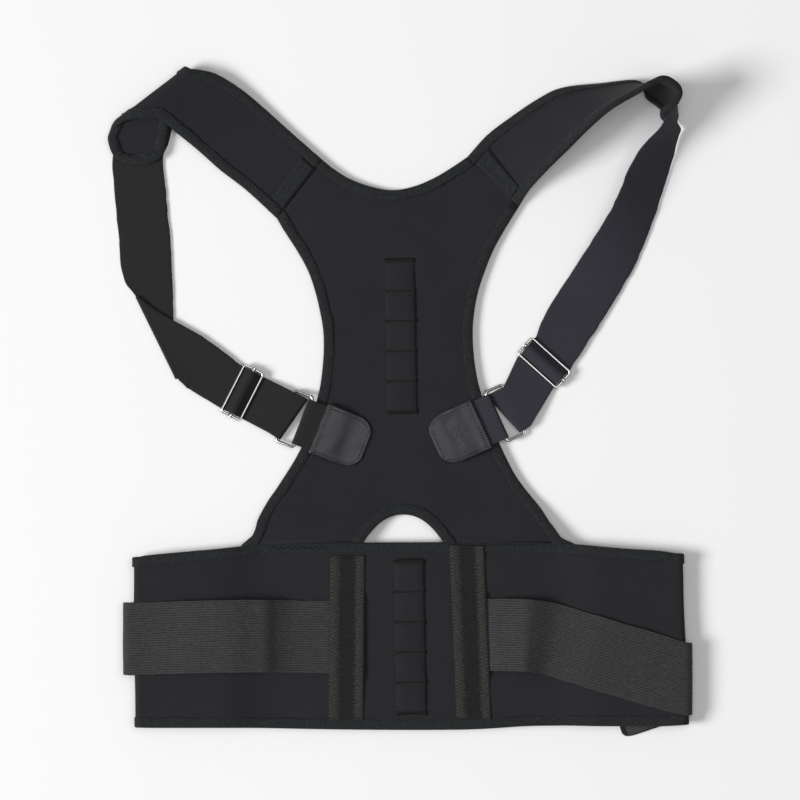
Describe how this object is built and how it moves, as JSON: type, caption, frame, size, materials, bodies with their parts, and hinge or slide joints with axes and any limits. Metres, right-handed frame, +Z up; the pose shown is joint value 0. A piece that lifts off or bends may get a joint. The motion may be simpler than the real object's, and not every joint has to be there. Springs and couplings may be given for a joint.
{
  "type": "posture corrector",
  "caption": "Back and shoulder posture corrector of black neoprene with a wide waist belt, elastic pull straps, and shoulder webbing on slides and rings, lying flat.",
  "frame": {"origin": "middle of the whole part's outline, on the surface that it lies on", "axes": "+X to the right of the back panel, +Y from the waist belt to the shoulders, +Z up from the surface"},
  "size_m": [0.4514, 0.5188, 0.0525],
  "materials": {
    "neoprene": "knitted jersey over foam",
    "edge_tape": "fine woven binding tape",
    "webbing": "crosswise ribbed webbing",
    "elastic": "lengthwise ribbed elastic",
    "stay_tape": "ribbed tape with worn zigzag stitching",
    "hook_tape": "hook and loop tape",
    "leather": "grained and slightly glossy",
    "nickel": "bright nickel plate"
  },
  "bodies": {
    "root": {"back_panel": "neoprene", "left_shoulder_arm": "neoprene", "right_shoulder_arm": "neoprene", "waist_belt": "neoprene", "upper_magnet_pockets": "neoprene", "lower_magnet_pockets": "neoprene", "left_side_binding": "edge_tape", "right_side_binding": "edge_tape", "neckline_binding": "edge_tape", "half_moon_binding": "edge_tape", "left_arm_binding": "edge_tape", "right_arm_binding": "edge_tape", "belt_top_binding": "edge_tape", "belt_bottom_binding": "edge_tape", "left_seam_tape": "hook_tape", "right_seam_tape": "hook_tape", "belt_hook_pad": "hook_tape", "left_strap_hook_tab": "hook_tape", "right_strap_hook_tab": "hook_tape", "left_elastic_strap": "elastic", "right_elastic_strap": "elastic", "left_stay_tape": "stay_tape", "right_stay_tape": "stay_tape", "left_leather_patch": "leather", "right_leather_patch": "leather", "left_ring_loop": "webbing", "right_ring_loop": "webbing", "left_shoulder_webbing": "webbing", "right_shoulder_webbing": "webbing", "left_ring": "nickel", "right_ring": "nickel", "left_slide": "nickel", "right_slide": "nickel"}
  },
  "joints": []
}
